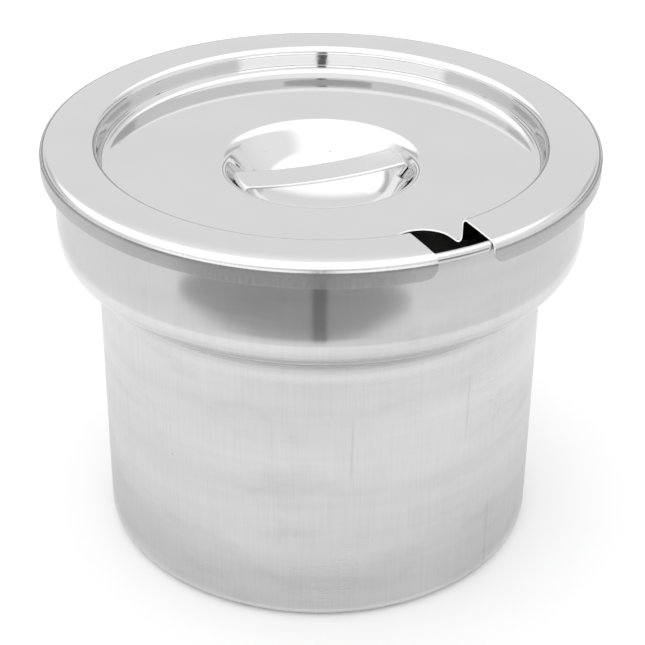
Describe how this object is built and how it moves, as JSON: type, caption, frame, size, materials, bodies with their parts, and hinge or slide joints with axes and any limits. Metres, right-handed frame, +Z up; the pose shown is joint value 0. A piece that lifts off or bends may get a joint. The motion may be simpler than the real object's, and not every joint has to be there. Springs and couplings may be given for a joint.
{
  "type": "soup kettle inset pot",
  "caption": "Stepped round stainless pot that hangs in a soup warmer's well, with a lift-off notched lid and a recessed strap handle.",
  "frame": {"origin": "centre of the pot's flat base, on the surface that it stands on", "axes": "+Z up along the pot's axis; X along the handle strap; the ladle slot faces 7 degrees from -Y towards +X"},
  "size_m": [0.278, 0.278, 0.2152],
  "materials": {
    "satin_steel": "satin, polished on the upper band",
    "polished_steel": "polished",
    "strap_steel": "fine polish"
  },
  "bodies": {
    "pot": {"pot": "satin_steel"},
    "lid": {"lid_pressing": "polished_steel", "handle_strap": "strap_steel"}
  },
  "joints": [
    {"name": "lid_lift", "type": "slide", "parent": "pot", "child": "lid", "axis": [0, 0, 1], "range_m": [0, 0.15]}
  ]
}
